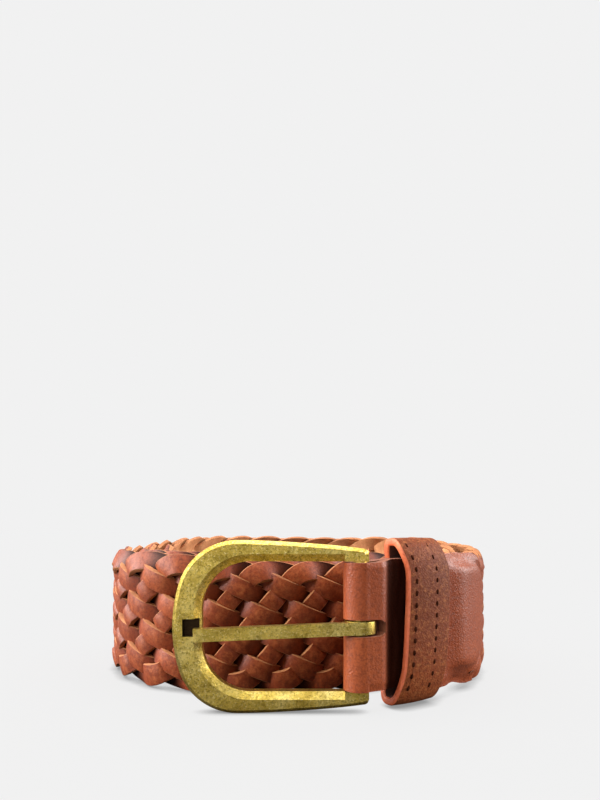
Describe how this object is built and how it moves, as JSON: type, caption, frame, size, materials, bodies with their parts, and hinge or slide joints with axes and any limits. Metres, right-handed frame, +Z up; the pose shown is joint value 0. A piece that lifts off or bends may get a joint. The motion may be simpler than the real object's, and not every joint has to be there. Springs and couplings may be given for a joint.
{
  "type": "belt",
  "caption": "Coiled braided leather belt standing on edge, with a horseshoe heel-bar buckle, tongue, folded chape, sliding keeper loop and tip tab.",
  "frame": {"origin": "centre of the bounding box at the floor the coil stands on", "axes": "+Z up along the coil's axis and the belt's width, -Y towards the buckle's face, -X towards the buckle's nose"},
  "size_m": [0.1244, 0.1338, 0.043],
  "materials": {
    "brass": "antique brass with a dark speckled patina and worn bright ridges",
    "tab_leather": "smooth reddish-brown leather with a fine grain",
    "keeper_leather": "reddish-brown leather with a worn grain and an orange-red edge",
    "braid_leather": "plaited reddish-brown laces with tan cut edges",
    "thread": "dark brown waxed thread"
  },
  "bodies": {
    "strap": {"braid_outer_turn": "braid_leather", "braid_middle_turn": "braid_leather", "braid_inner_turn": "braid_leather", "chape": "tab_leather", "chape_stitching": "thread", "tip_tab_front": "tab_leather", "tip_tab_back": "tab_leather", "tip_stitching": "thread"},
    "buckle": {"buckle_frame": "brass", "buckle_bar": "brass"},
    "tongue": {"tongue": "brass"},
    "keeper": {"keeper": "keeper_leather", "keeper_stitching": "thread"}
  },
  "joints": [
    {"name": "buckle_hinge", "type": "hinge", "parent": "strap", "child": "buckle", "pos_m": [0.0159, -0.06193, 0.0213], "axis": [0, 0, 1], "range_deg": [-12, 65]},
    {"name": "tongue_hinge", "type": "hinge", "parent": "buckle", "child": "tongue", "pos_m": [0.0159, -0.06193, 0.0211], "axis": [0, 0, 1], "range_deg": [0, 50]},
    {"name": "keeper_slide", "type": "hinge", "parent": "strap", "child": "keeper", "pos_m": [-0.01032, 0.00297, 0.0221], "axis": [0, 0, 1], "range_deg": [-1, 4.5]}
  ]
}
